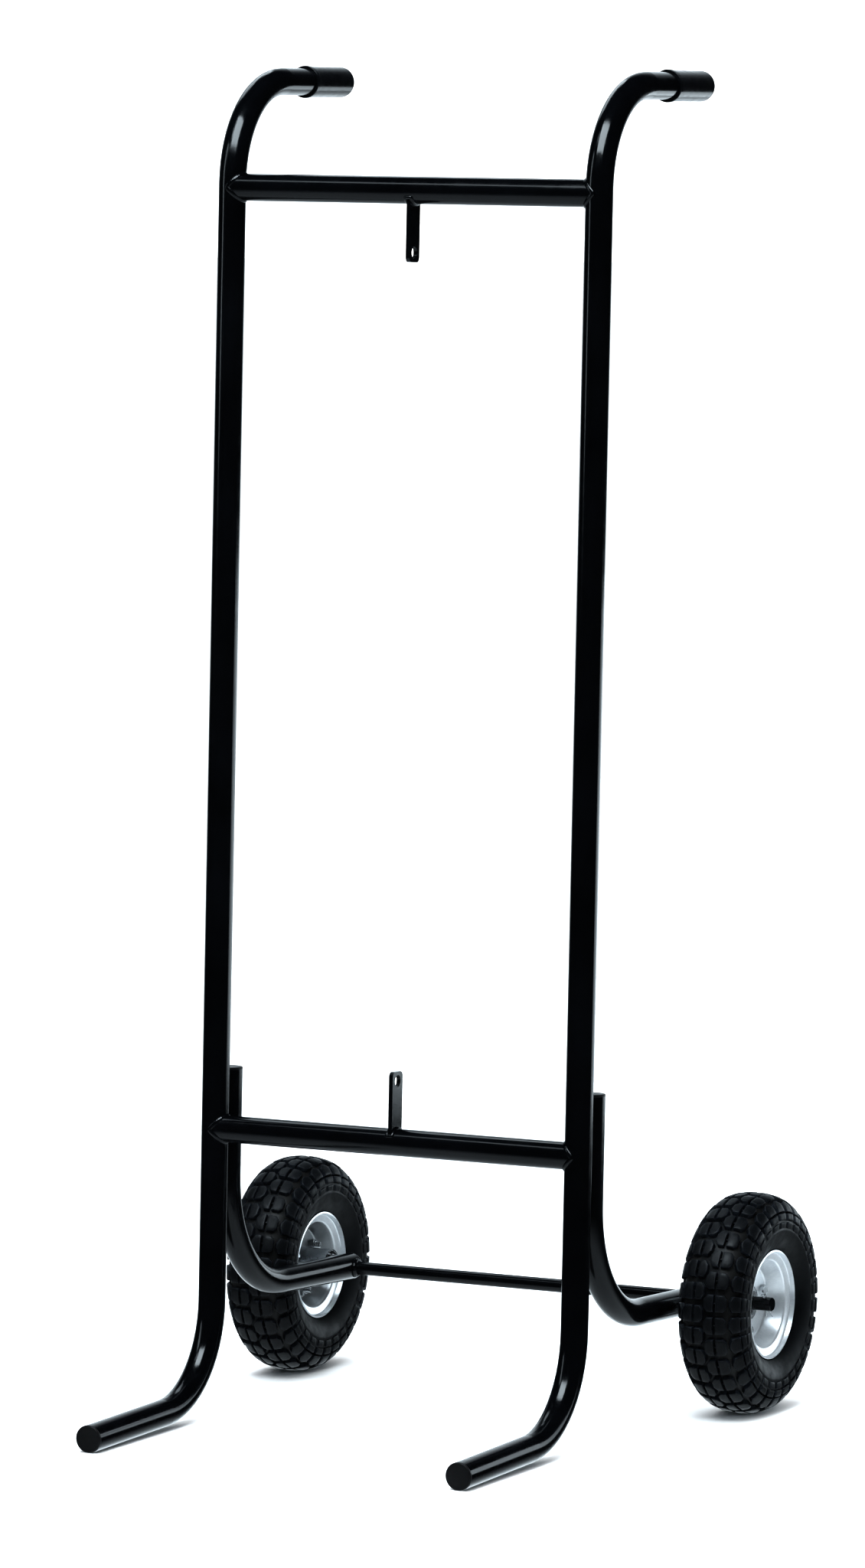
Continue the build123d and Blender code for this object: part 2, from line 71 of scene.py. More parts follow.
# ---------------------------------------------------------------- materials


class Nodes:
    """Short calls for building a material's node tree."""

    def __init__(self, name):
        self.material = bpy.data.materials.new(name)
        self.material.use_nodes = True
        self.tree = self.material.node_tree
        self.shader = self.tree.nodes["Principled BSDF"]
        coords = self.tree.nodes.new("ShaderNodeTexCoord")
        self.place = coords.outputs["Object"]

    def link(self, a, b):
        self.tree.links.new(a, b)

    def stretched(self, scale):
        """Object coordinates multiplied by a scale for each axis."""
        node = self.tree.nodes.new("ShaderNodeMapping")
        node.inputs["Scale"].default_value = scale
        self.link(self.place, node.inputs["Vector"])
        return node.outputs["Vector"]

    def noise(self, scale, detail=4.0, rough=0.55, where=None):
        """Cloud noise, with scale in features to the metre."""
        node = self.tree.nodes.new("ShaderNodeTexNoise")
        node.inputs["Scale"].default_value = scale
        node.inputs["Detail"].default_value = detail
        node.inputs["Roughness"].default_value = rough
        self.link(where or self.place, node.inputs["Vector"])
        return node.outputs["Fac"]

    def cells(self, scale):
        """Distance from the nearest of scattered points."""
        node = self.tree.nodes.new("ShaderNodeTexVoronoi")
        node.inputs["Scale"].default_value = scale
        self.link(self.place, node.inputs["Vector"])
        return node.outputs["Distance"]

    def span(self, value, low, high, to_low=0.0, to_high=1.0):
        """Value mapped from low..high to to_low..to_high, and held at the ends."""
        node = self.tree.nodes.new("ShaderNodeMapRange")
        ends = {"From Min": low, "From Max": high, "To Min": to_low, "To Max": to_high}
        for key, number in ends.items():
            node.inputs[key].default_value = number
        self.link(value, node.inputs["Value"])
        return node.outputs["Result"]

    def ramp(self, value, *stops):
        """Colour by value; a stop is a value and its colour."""
        node = self.tree.nodes.new("ShaderNodeValToRGB")
        elements = node.color_ramp.elements
        while len(elements) < len(stops):
            elements.new(0.5)
        for element, (at, colour) in zip(elements, stops):
            element.position = at
            element.color = (*colour, 1.0)
        self.link(value, node.inputs["Fac"])
        return node.outputs["Color"]

    def maths(self, kind, a, b):
        node = self.tree.nodes.new("ShaderNodeMath")
        node.operation = kind
        for socket, value in zip(node.inputs, (a, b)):
            if isinstance(value, (int, float)):
                socket.default_value = value
            else:
                self.link(value, socket)
        return node.outputs["Value"]

    def bump(self, height, strength, distance, onto=None):
        node = self.tree.nodes.new("ShaderNodeBump")
        node.inputs["Strength"].default_value = strength
        node.inputs["Distance"].default_value = distance
        self.link(height, node.inputs["Height"])
        if onto is not None:
            self.link(onto, node.inputs["Normal"])
        return node.outputs["Normal"]

    def from_axle(self):
        """Distance from the line of the axle."""
        parts = self.tree.nodes.new("ShaderNodeSeparateXYZ")
        self.link(self.place, parts.inputs["Vector"])
        y = self.maths("SUBTRACT", parts.outputs["Y"], AXLE.y)
        z = self.maths("SUBTRACT", parts.outputs["Z"], AXLE.z)
        square = self.maths("ADD", self.maths("MULTIPLY", y, y), self.maths("MULTIPLY", z, z))
        return self.maths("POWER", square, 0.5)

    def scaled(self, colour, factor):
        node = self.tree.nodes.new("ShaderNodeVectorMath")
        node.operation = "SCALE"
        self.link(colour, node.inputs["Vector"])
        self.link(factor, node.inputs["Scale"])
        return node.outputs["Vector"]

    def pointiness(self):
        return self.tree.nodes.new("ShaderNodeNewGeometry").outputs["Pointiness"]

    def set(self, **values):
        """Sets or links the shader's inputs, and gives the material."""
        for key, value in values.items():
            socket = self.shader.inputs[key.replace("_", " ")]
            if isinstance(value, (int, float, tuple)):
                socket.default_value = value
            else:
                self.link(value, socket)
        return self.material


# Most of a cloud noise lies between these two values
NOISE_LOW, NOISE_HIGH = 0.3, 0.7
HOLLOW_R = 50.0 * MM      # painted shade inside a rim is full up to here
FLANGE_R = 53.5 * MM      # and fades out by here, leaving the plating its own colour from here outwards


def enamel():
    """Gloss black enamel on steel tube: faint orange peel, dust nibs and softer patches."""
    n = Nodes("gloss_black_enamel")
    deep, pale = (0.0011, 0.0014, 0.0019), (0.0030, 0.0035, 0.0045)
    mottling = n.noise(9.0, detail=5.0)
    peel = n.bump(n.noise(260.0, detail=2.0), strength=0.10, distance=0.0003)
    nibs = n.span(n.cells(170.0), 0.0, 0.05, to_low=1.0, to_high=0.0)
    sparse = n.span(n.noise(35.0, detail=2.0), 0.60, 0.66)
    nib_height = n.maths("MULTIPLY", nibs, sparse)
    return n.set(
        Base_Color=n.ramp(mottling, (NOISE_LOW, deep), (NOISE_HIGH, pale)),
        Roughness=n.span(n.noise(60.0), NOISE_LOW, NOISE_HIGH, to_low=0.10, to_high=0.19),
        Specular_IOR_Level=0.4,
        Normal=n.bump(nib_height, strength=0.5, distance=0.00025, onto=peel))


def zinc(name, dark, light, smoothest, roughest, metallic=1.0, hollow_shade=1.0):
    """Zinc-plated steel: cloudy plating with fine streaks; a factor below 1 darkens it towards the axle, as
    painted shade in the hollow of a rim.
    """
    n = Nodes(name)
    clouds = n.noise(45.0, detail=6.0, rough=0.6)
    streaks = n.noise(1.0, detail=5.0, rough=0.65, where=n.stretched((90.0, 520.0, 520.0)))
    mixed = n.maths("ADD", n.maths("MULTIPLY", clouds, 0.6), n.maths("MULTIPLY", streaks, 0.4))
    scratches = n.noise(1.0, detail=3.0, rough=0.7, where=n.stretched((2400.0, 500.0, 500.0)))
    colour = n.ramp(mixed, (0.32, dark), (0.66, light))
    # Painted shade: the colour is scaled down in the hollow of the rim, towards the axle
    if hollow_shade < 1.0:
        colour = n.scaled(colour, n.span(n.from_axle(), HOLLOW_R, FLANGE_R, to_low=hollow_shade))
    return n.set(
        Base_Color=colour,
        Metallic=metallic,
        Roughness=n.span(mixed, NOISE_LOW, NOISE_HIGH, to_low=roughest, to_high=smoothest),
        Normal=n.bump(scratches, strength=0.12, distance=0.0002))


def rubber():
    """Tyre rubber: near black, lighter in random patches and specks and on convex edges."""
    n = Nodes("tyre_rubber_black")
    deep, middling, palest = (0.0014, 0.0017, 0.0022), (0.0042, 0.0050, 0.0063), (0.021, 0.025, 0.031)
    patches = n.maths("MULTIPLY", n.noise(38.0, detail=6.0, rough=0.62), 0.45)
    # Lighter where the surface is convex, at the blocks' edges
    edges = n.maths("MULTIPLY", n.span(n.pointiness(), 0.50, 0.60), 0.35)
    specks = n.maths("MULTIPLY", n.noise(420.0, detail=2.0), 0.25)
    lightening = n.maths("ADD", patches, n.maths("ADD", edges, specks))
    grain = n.noise(1100.0, detail=3.0)
    return n.set(
        Base_Color=n.ramp(lightening, (0.2, deep), (0.5, middling), (0.85, palest)),
        Roughness=n.span(n.noise(70.0, detail=6.0), NOISE_LOW, NOISE_HIGH, to_low=0.36, to_high=0.58),
        Specular_IOR_Level=0.28,
        Normal=n.bump(grain, strength=0.35, distance=0.00025))


def plastic(name, low, high, rough, grain_scale, grain):
    """Moulded black plastic or vinyl with a fine spark-eroded grain."""
    n = Nodes(name)
    return n.set(
        Base_Color=n.ramp(n.noise(25.0), (NOISE_LOW, low), (NOISE_HIGH, high)),
        Roughness=n.span(n.noise(120.0), NOISE_LOW, NOISE_HIGH, rough - 0.06, rough + 0.08),
        Specular_IOR_Level=0.35,
        Normal=n.bump(n.cells(grain_scale), strength=grain, distance=0.00015))


ENAMEL = enamel()
PLATE_DARK, PLATE_LIGHT = (0.70, 0.73, 0.76), (0.88, 0.91, 0.93)
RIM = zinc("rim_zinc_plate", PLATE_DARK, PLATE_LIGHT, 0.28, 0.42, metallic=0.78)
# Inner rim halves: the same plate with painted shade, down to half its colour, in the hollow towards the
# axle
RIM_SHADED_INSIDE = zinc("rim_zinc_plate_shaded_inside", PLATE_DARK, PLATE_LIGHT, 0.26, 0.40, metallic=0.85, hollow_shade=0.50)
HUB = zinc("hub_zinc_plate", (0.42, 0.44, 0.46), (0.62, 0.64, 0.66), 0.20, 0.32)
HARDWARE = zinc("bright_zinc_hardware", (0.55, 0.57, 0.59), (0.85, 0.86, 0.87), 0.16, 0.30)
BEARING = zinc("ground_bearing_steel", (0.60, 0.61, 0.62), (0.86, 0.86, 0.86), 0.08, 0.16)
RUBBER = rubber()
PLUG = plastic("black_plug_plastic", (0.006, 0.006, 0.0065), (0.012, 0.012, 0.013), 0.42, 1400.0, 0.25)
GRIP = plastic("black_grip_vinyl", (0.0022, 0.0025, 0.0030), (0.0050, 0.0056, 0.0066), 0.18, 1100.0, 0.10)
SEAL = plastic("black_seal_rubber", (0.005, 0.005, 0.005), (0.010, 0.010, 0.010), 0.50, 1600.0, 0.20)
BY_SLOT = {
    "frame_enamel": ENAMEL, "plug_plastic": PLUG, "grip_rubber": GRIP, "tyre_rubber": RUBBER,
    "tube_rubber": SEAL, "seal_rubber": SEAL, "rim_steel": RIM, "zinc_hardware": HARDWARE,
    "bearing_steel": BEARING,
}
# These nodes get another material than the rest of their slot: the inner rim halves add painted shade in
# their hollow, and the hubs a darker, smoother zinc
BY_NODE = {}
for side, hand in HANDS:
    BY_NODE[f"{hand}_inner_rim_half"] = RIM_SHADED_INSIDE
    BY_NODE[f"{hand}_hub"] = HUB
SLOT_OF = {s["node"]: s["material_slot"] for s in frame["record"]["subparts"]}
for name, node in NODES.items():
    node.data.materials.clear()
    node.data.materials.append(BY_NODE.get(name) or BY_SLOT[SLOT_OF[name]])

# ---------------------------------------------------------------- building pieces


def piece(name, bm, material, body):
    """A finished mesh as an object that rides on a body."""
    bmesh.ops.recalc_face_normals(bm, faces=bm.faces)
    mesh = bpy.data.meshes.new(name)
    bm.to_mesh(mesh)
    bm.free()
    mesh.materials.append(material)
    item = bpy.data.objects.new(name, mesh)
    bpy.context.scene.collection.objects.link(item)
    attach(item, body)
    return item


# ---------------------------------------------------------------- tyres

# Outside of the tyre, in mm from its centre plane and axle, as arcs: centre, radius, start and end angle
# from the outward direction
CROWN_R = 85.0
WIDEST_R = 98.0
HALF_WIDTH = (TYRE_HIGH.x - TYRE_LOW.x) / 2 / MM
CROWN_CENTRE = TYRE_R / MM - CROWN_R
RISE = WIDEST_R - CROWN_CENTRE
SHOULDER_R = (CROWN_R**2 - HALF_WIDTH**2 - RISE**2) / (2 * (CROWN_R - HALF_WIDTH))
SHOULDER_X = HALF_WIDTH - SHOULDER_R
CROWN_ANGLE = math.atan2(SHOULDER_X, RISE)
WALL_R = 50.0
WALL_END = math.radians(130.5)
ARCS = (
    ((0.0, CROWN_CENTRE), CROWN_R, 0.0, CROWN_ANGLE),
    ((SHOULDER_X, WIDEST_R), SHOULDER_R, CROWN_ANGLE, math.pi / 2),
    ((HALF_WIDTH - WALL_R, WIDEST_R), WALL_R, math.pi / 2, WALL_END),
)
OUTSIDE_LENGTH = sum(radius * (end - start) for centre, radius, start, end in ARCS)
OUTSIDE_CUTS = 90
# The inside starts at the end of the outside: how far inboard of that end, and how far below it
BEAD_EDGE = ((1.2, 0.9), (3.0, 1.0))
# How far inboard of that end, and how far below the rim's lip
BEAD_SEAT = ((5.5, 3.5), (8.5, 9.0))
# From the bead's heel over the inner tube to the crown: from the centre plane, and from the axle
CASING = ((15.0, 51.6), (13.4, 51.6), (13.4, 56.0), (24.0, 70.0), (33.0, 84.0), (36.0, 98.0), (30.0, 112.0),
          (16.0, 119.5), (0.0, 121.0))
ROUND_STEPS = 180

PITCHES = 30
PITCH = 2 * math.pi * TYRE_R / MM / PITCHES
TREAD_PHASE = {"left": 5.6, "right": 4.4}   # degrees from the rearward direction to a block's middle
GROOVE = 5.4
# The ground between the blocks gets shallower towards the rim: arc length from the crown, and depth
GROUND = ((0.0, GROOVE), (46.5, GROOVE), (50.5, 2.6), (57.5, 2.2), (60.0, 1.3), (67.0, 1.1), (70.5, 0.0))

# Outlines of the blocks on the positive side: arc length from the crown, and distance round the tread
INNER_BLOCK = [(4.6, -9.9), (11.9, -9.9), (11.9, 9.9), (4.6, 9.9), (0.5, 4.6), (0.5, -4.6)]
OUTER_BLOCK = [(15.1, -9.9), (24.4, -9.9), (28.6, -5.6), (28.6, 5.6), (24.4, 9.9), (15.1, 9.9)]
SHOULDER_BLOCK = [(32.2, -3.0), (36.2, -10.0), (47.2, -10.0), (47.2, 10.0), (36.2, 10.0), (32.2, 3.0)]
WALL_BLOCK = [(49.6, -9.8), (56.8, -9.8), (57.4, -9.0), (57.4, 9.0), (56.8, 9.8), (49.6, 9.8)]
WALL_PAD = [(60.4, -8.6), (66.6, -8.6), (67.4, -7.6), (67.4, 7.6), (66.6, 8.6), (60.4, 8.6)]
SLIT_TIE = [(11.4, -0.7), (15.6, -0.7), (15.6, 0.7), (11.4, 0.7)]
# In mm: how far a block's top is below the tyre's outside, how far its foot stands out past its outline, the
# rounding of its edge, and how far its foot goes into the ground
BLOCKS = (
    (INNER_BLOCK, 0.0, 0.8, 0.55, 0.8),
    (OUTER_BLOCK, 0.0, 0.8, 0.55, 0.8),
    (SHOULDER_BLOCK, 0.0, 0.8, 0.55, 0.8),
    (WALL_BLOCK, 0.0, 0.5, 0.45, 0.5),
    (WALL_PAD, 0.0, 0.4, 0.3, 0.4),
    (SLIT_TIE, 2.4, 0.4, 0.3, 0.8),
)
EDGE_CUT = 3.2           # mm between the points of a block's outline
# The rounded edge, in parts of its size: how far in from the outline, and how far below the top
EDGE_START, EDGE_MIDDLE, EDGE_END = (0.0, 1.0), (0.4, 0.3), (1.2, 0.0)
TOP_MIDDLE = 0.5         # of the outline's size: a ring that lets the top follow the tyre


def section(s, depth=0.0):
    """Point (x, r) of the tyre's outside at arc length s from the crown, sunk in by depth."""
    for (cx, cr), radius, start, end in ARCS:
        length = radius * (end - start)
        if s <= length or end == WALL_END:
            angle = start + min(s, length) / radius
            return cx + (radius - depth) * math.sin(angle), cr + (radius - depth) * math.cos(angle)
        s -= length


def smooth(x, low, high):
    t = min(1.0, max(0.0, (x - low) / (high - low)))
    return t * t * (3 - 2 * t)


def ground(s):
    """Depth of the ground between the tread blocks."""
    for (s0, d0), (s1, d1) in zip(GROUND, GROUND[1:]):
        if s < s1:
            return d0 + (d1 - d0) * smooth(s, s0, s1)
    return GROUND[-1][1]


def round_axle(side, x, r, angle):
    """Point beside a wheel: x and r in mm from the wheel's centre plane and axle, angle from the rear."""
    y = AXLE.y + r * MM * math.cos(angle)
    z = AXLE.z + r * MM * math.sin(angle)
    return Vector((side * WHEEL_X + x * MM, y, z))


def on_tyre(side, way, s, t, depth):
    """Point of the tyre: way is the side of its centre plane, t the distance round the tread."""
    x, r = section(s, depth)
    return round_axle(side, way * x, r, t / (TYRE_R / MM))


def divided(outline, step):
    """A closed outline with its edges cut into short lengths."""
    points = []
    for (s0, t0), (s1, t1) in zip(outline, outline[1:] + outline[:1]):
        cuts = max(1, round(math.hypot(s1 - s0, t1 - t0) / step))
        points += [(s0 + (s1 - s0) * k / cuts, t0 + (t1 - t0) * k / cuts) for k in range(cuts)]
    return points


def tread_block(bm, side, way, outline, phase, top, draft, edge, sink):
    """A raised block: drafted walls, a rounded edge and a top that follows the tyre."""
    points = divided(outline, EDGE_CUT)
    middle_s = sum(s for s, t in points) / len(points)
    middle_t = sum(t for s, t in points) / len(points)

    def ring(grow, depth_at, scale=1.0):
        verts = []
        for s, t in points:
            ds, dt = s - middle_s, t - middle_t
            length = math.hypot(ds, dt) or 1.0
            s1 = abs(middle_s + ds * scale + ds / length * grow)
            t1 = middle_t + dt * scale + dt / length * grow
            verts.append(bm.verts.new(on_tyre(side, way, s1, t1 + phase, depth_at(s1))))
        return verts

    rings = [ring(draft, lambda s: ground(s) + sink)]
    for inward, below in (EDGE_START, EDGE_MIDDLE, EDGE_END):
        rings.append(ring(-edge * inward, lambda s: top + edge * below))
    rings.append(ring(0.0, lambda s: top, TOP_MIDDLE))
    count = len(points)
    for k, (low, high) in enumerate(zip(rings, rings[1:])):
        for i in range(count):
            j = (i + 1) % count
            face = bm.faces.new((low[i], low[j], high[j], high[i]))
            face.smooth = k > 0
    peak = bm.verts.new(on_tyre(side, way, middle_s, middle_t + phase, top))
    foot = bm.verts.new(on_tyre(side, way, middle_s, middle_t + phase, ground(middle_s) + sink))
    for i in range(count):
        j = (i + 1) % count
        bm.faces.new((rings[-1][i], rings[-1][j], peak)).smooth = True
        bm.faces.new((rings[0][j], rings[0][i], foot))


def carcass(bm, side, hand):
    """The tyre without its blocks, turned round the axle."""
    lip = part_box(f"{hand}_outer_rim_half")
    lip_r = (lip[1].z - lip[0].z) / 2 / MM
    steps = [OUTSIDE_LENGTH * k / OUTSIDE_CUTS for k in range(OUTSIDE_CUTS + 1)]
    profile = [section(s, ground(s)) for s in steps]
    x_end, r_end = profile[-1]
    profile += [(x_end - inboard, r_end - below) for inboard, below in BEAD_EDGE]
    profile += [(x_end - inboard, lip_r - below) for inboard, below in BEAD_SEAT]
    profile += CASING
    closed = profile + [(-x, r) for x, r in reversed(profile[1:-1])]
    rings = []
    for k in range(ROUND_STEPS):
        angle = 2 * math.pi * k / ROUND_STEPS
        rings.append([bm.verts.new(round_axle(side, x, r, angle)) for x, r in closed])
    for a, b in zip(rings, rings[1:] + rings[:1]):
        for i in range(len(closed)):
            j = (i + 1) % len(closed)
            bm.faces.new((a[i], b[i], b[j], a[j])).smooth = True


def tyre(side, hand):
    """Carcass with the tread blocks standing on it."""
    bm = bmesh.new()
    carcass(bm, side, hand)
    phase = math.radians(TREAD_PHASE[hand]) * TYRE_R / MM
    for k in range(PITCHES):
        for way in (-1, 1):
            # The two halves of the tread are half a pitch apart
            at = phase + (k + (0.5 if way < 0 else 0.0)) * PITCH
            for outline, top, draft, edge, sink in BLOCKS:
                tread_block(bm, side, way, outline, at, top, draft, edge, sink)
    item = piece(f"{hand}_treaded_tyre", bm, RUBBER, f"{hand}_wheel")
    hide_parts(f"{hand}_tyre")


for side, hand in HANDS:
    tyre(side, hand)

# ---------------------------------------------------------------- welds

BEAD_SIDES = 14          # corners of a bead's section
BEAD_STEP = 0.55         # mm along a bead
RIPPLE = 2.3             # mm from one ripple to the next
SWELL = 0.10             # of the radius, at the top of a ripple
UNEVEN = 0.02            # of the radius, at random
LAG = 0.35               # of a ripple, by which the bead's inner side trails its outer side
END_STEPS = 5.0          # steps over which an open bead narrows
END_LEAST = 0.06         # square of the narrowest end's size


def weld(name, path, normals, radius, closed=True, flat=0.8):
    """A bead of overlapping ripples along a path; normals point out of the corner it fills."""
    bm = bmesh.new()
    count = len(path)
    run = 0.0
    rings = []
    for i, (point, normal) in enumerate(zip(path, normals)):
        ahead = path[(i + 1) % count] if closed or i + 1 < count else path[i]
        behind = path[i - 1] if closed or i > 0 else path[i]
        along = (ahead - behind).normalized()
        out = (normal - along * normal.dot(along)).normalized()
        across = along.cross(out)
        run += (point - behind).length / MM if i else 0.0
        swell = 1.0 + SWELL * abs(math.sin(math.pi * run / RIPPLE)) + random.uniform(-UNEVEN, UNEVEN)
        if not closed:
            swell *= math.sqrt(max(END_LEAST, min(1.0, i / END_STEPS, (count - 1 - i) / END_STEPS)))
        ring = []
        for k in range(BEAD_SIDES):
            angle = 2 * math.pi * k / BEAD_SIDES
            lag = LAG * RIPPLE * MM * (1 - math.cos(angle)) / 2
            offset = out * (math.cos(angle) * flat) + across * math.sin(angle)
            ring.append(bm.verts.new(point + offset * radius * swell * MM - along * lag))
        rings.append(ring)
    pairs = list(zip(rings, rings[1:])) + ([(rings[-1], rings[0])] if closed else [])
    for a, b in pairs:
        for k in range(BEAD_SIDES):
            j = (k + 1) % BEAD_SIDES
            bm.faces.new((a[k], a[j], b[j], b[k])).smooth = True
    if not closed:
        bm.faces.new(rings[0])
        bm.faces.new(rings[-1])
    piece(name, bm, ENAMEL, "frame")


RAIL_LEAN = math.radians(1.2)                # of the uprights, towards the wheels
# Directions: up along the uprights, square to them towards the wheels, and to the right
LEAN = Vector((0, math.sin(RAIL_LEAN), math.cos(RAIL_LEAN)))
BACK = Vector((0, LEAN.z, -LEAN.y))
SIDE = Vector((1, 0, 0))
BAR_R = (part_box("upper_crossbar")[1].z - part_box("upper_crossbar")[0].z) / 2


def saddle(centre, bar_r, inward, across, along, out):
    """The line where a round bar meets the side of a tube, out mm clear of the corner, with its normals."""
    path, normals = [], []
    steps = int(2 * math.pi * bar_r / (BEAD_STEP * MM))
    for k in range(steps):
        angle = 2 * math.pi * k / steps
        v = bar_r * math.cos(angle)
        depth = math.sqrt(max(TUBE_R**2 - v**2, 0.0))
        bar_normal = across * math.cos(angle) + along * math.sin(angle)
        tube_normal = inward * (depth / TUBE_R) + across * (v / TUBE_R)
        normal = (bar_normal + tube_normal).normalized()
        path.append(centre + inward * depth + bar_normal * bar_r + normal * out * MM)
        normals.append(normal)
    return path, normals


for level in ("upper", "lower"):
    bar = middle(f"{level}_crossbar")
    for side, hand in HANDS:
        centre = Vector((side * RAIL_X, bar.y, bar.z))
        path, normals = saddle(centre, BAR_R, -side * SIDE, BACK, LEAN, out=0.3)
        weld(f"{hand}_{level}_crossbar_weld", path, normals, radius=2.7, flat=0.5)

LUG_LOW, LUG_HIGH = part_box("lower_lug")
LUG_HALF_THICKNESS = (LUG_HIGH.x - LUG_LOW.x) / 2
LUG_HALF_WIDTH = 12.5 * MM
LUG_BEAD_OUT = 1.1 * MM      # from the lug's faces to the middle of the bead
LUG_BEAD_UP = 0.3 * MM       # and along the corner's normal
LUG_CORNER_CUTS = 6


def lug_weld(name, centre, way):
    """The bead round the root of a lug, down over the round of its crossbar."""
    signs = ((1, -1), (1, 1), (-1, 1), (-1, -1))
    corners = [(LUG_HALF_THICKNESS * x, LUG_HALF_WIDTH * a) for x, a in signs]
    # Points of the lug's edge, each with the direction that faces away from it
    outline = []
    for number, ((x0, a0), (x1, a1)) in enumerate(zip(corners, corners[1:] + corners[:1])):
        steps = round(math.hypot(x1 - x0, a1 - a0) / (BEAD_STEP * MM))
        away = number * math.pi / 2
        outline += [(x0 + (x1 - x0) * k / steps, a0 + (a1 - a0) * k / steps, away) for k in range(steps)]
        outline += [(x1, a1, away + k * math.pi / (2 * LUG_CORNER_CUTS)) for k in range(LUG_CORNER_CUTS)]
    path, normals = [], []
    for x, a, away in outline:
        x += LUG_BEAD_OUT * math.cos(away)
        a += LUG_BEAD_OUT * math.sin(away)
        face = SIDE * math.cos(away) + BACK * math.sin(away)
        round_normal = BACK * (a / BAR_R) + LEAN * (way * math.sqrt(1 - (a / BAR_R) ** 2))
        normal = (face + round_normal).normalized()
        path.append(centre + SIDE * x + round_normal * BAR_R + normal * LUG_BEAD_UP)
        normals.append(normal)
    weld(name, path, normals, radius=2.2)


for level, way in (("upper", -1), ("lower", 1)):
    lug_weld(f"{level}_lug_weld", middle(f"{level}_crossbar"), way)

# Stitches in the outboard groove between each arm and its upright, in mm: height above the lower
# crossbar, and length
STITCHES = ((-66.0, 34.0), (-17.0, 9.0))
STITCH_OUT = 6.6 * MM        # outboard of the tubes' centre plane
for side, hand in HANDS:
    seam = middle("lower_crossbar") + BACK * TUBE_R + SIDE * side * (RAIL_X + STITCH_OUT)
    for number, (start, length) in enumerate(STITCHES, 1):
        low = seam + LEAN * start * MM
        steps = round(length / BEAD_STEP)
        path = [low + LEAN * (length * MM * k / steps) for k in range(steps + 1)]
        weld(f"{hand}_arm_stitch_{number}", path, [SIDE * side] * len(path), radius=2.3, closed=False)

ARM_DROP = math.radians(2.2)                 # of the arms, from the uprights to the axle
ARM_RUN = Vector((0, math.cos(ARM_DROP), -math.sin(ARM_DROP)))
ARM_UP = Vector((0, math.sin(ARM_DROP), math.cos(ARM_DROP)))
for side, hand in HANDS:
    centre = Vector((side * RAIL_X, AXLE.y, AXLE.z))
    path, normals = saddle(centre, AXLE_R, -side * SIDE, ARM_UP, ARM_RUN, out=1.0)
    weld(f"{hand}_axle_weld", path, normals, radius=3.0)

# ---------------------------------------------------------------- rim bolts and nuts

BOLT_CIRCLE_R, BOLT_COUNT = 33.0, 3
FIRST_BOLT = {"left": 35.0, "right": 18.0}   # degrees above the rearward direction
SHEET = 2.0              # mm thick: each rim half
BOLT_R = 4.0
FLATS_R = 6.5            # half of the size across flats
FREE = 99.0              # a ring that only the flats limit
# Rings of height and radius; a bolt's heights run outboard from the rim's face, a nut's run inboard
HEAD = ((0.0, 5.9), (0.35, 5.9), (0.36, FREE), (4.5, FREE), (4.75, 7.1), (5.0, 6.65), (5.2, 6.2),
        (5.3, 5.7), (5.15, 5.2))
SHANK = ((0.0, BOLT_R), (-11.0, BOLT_R))
HEXAGON = ((0.0, 6.2), (0.25, 6.65), (0.5, 7.1), (0.75, FREE), (5.2, FREE), (5.45, 7.1), (5.7, 6.6),
           (5.9, 6.1))
COLLAR = ((5.6, 5.75), (7.0, 5.75), (7.6, 5.5), (7.9, 5.0), (8.0, 4.4), (7.8, 4.1))
THREAD_PITCH = 1.25
THREAD_DEPTH = 0.55
THREAD_TOP = -10.6
THREAD_LENGTH = 7.4
THREAD_STEPS = 60
CHAMFER = 0.9            # off the radius at the thread's end
CHAMFER_PART = 10        # one part in this many of the thread is chamfered


def hexagon_r(angle):
    """Distance from a hexagon's middle to its outline."""
    return FLATS_R / math.cos(angle % (math.pi / 3) - math.pi / 6)


def turned(bm, at, out, rings, count, flats=False, thread=0.0):
    """A solid round an axis from rings of height and radius, cut to six flats or threaded on the way."""
    level = []
    for height, radius in rings:
        ring = []
        for k in range(count):
            angle = 2 * math.pi * k / count
            r = min(radius, hexagon_r(angle)) if flats else radius
            if thread:
                turn = (height / THREAD_PITCH + k / count) % 1.0
                r -= thread * abs(2 * turn - 1)
            radial = Vector((0, math.cos(angle), math.sin(angle)))
            ring.append(bm.verts.new(at + out * height * MM + radial * r * MM))
        level.append(ring)
    for a, b in zip(level, level[1:]):
        for k in range(count):
            j = (k + 1) % count
            bm.faces.new((a[k], a[j], b[j], b[k])).smooth = not flats
    bm.faces.new(level[0])
    bm.faces.new(level[-1])


def bolt(bm, at, out):
    """Chamfered hexagon head, plain shank and threaded end."""
    turned(bm, at, out, HEAD, 48, flats=True)
    turned(bm, at, out, SHANK, 32)
    rings = []
    for k in range(THREAD_STEPS + 1):
        past = max(0.0, k / THREAD_STEPS - (1 - 1 / CHAMFER_PART))
        height = THREAD_TOP - THREAD_LENGTH * k / THREAD_STEPS
        rings.append((height, BOLT_R - CHAMFER * past * CHAMFER_PART))
    turned(bm, at, out, rings, 32, thread=THREAD_DEPTH)


def nut(bm, at, out):
    """Lock nut: chamfered hexagon with a round collar."""
    turned(bm, at, out, HEXAGON, 48, flats=True)
    turned(bm, at, out, COLLAR, 40)


for side, hand in HANDS:
    for name, maker, way in (("bolts", bolt, 1), ("nuts", nut, -1)):
        bm = bmesh.new()
        for k in range(BOLT_COUNT):
            angle = math.radians(FIRST_BOLT[hand]) + 2 * math.pi * k / BOLT_COUNT
            at = round_axle(side, side * way * SHEET, BOLT_CIRCLE_R, angle)
            maker(bm, at, SIDE * side * way)
        item = piece(f"{hand}_chamfered_{name}", bm, HARDWARE, f"{hand}_wheel")
        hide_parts(f"{hand}_rim_{name}")

# ---------------------------------------------------------------- camera

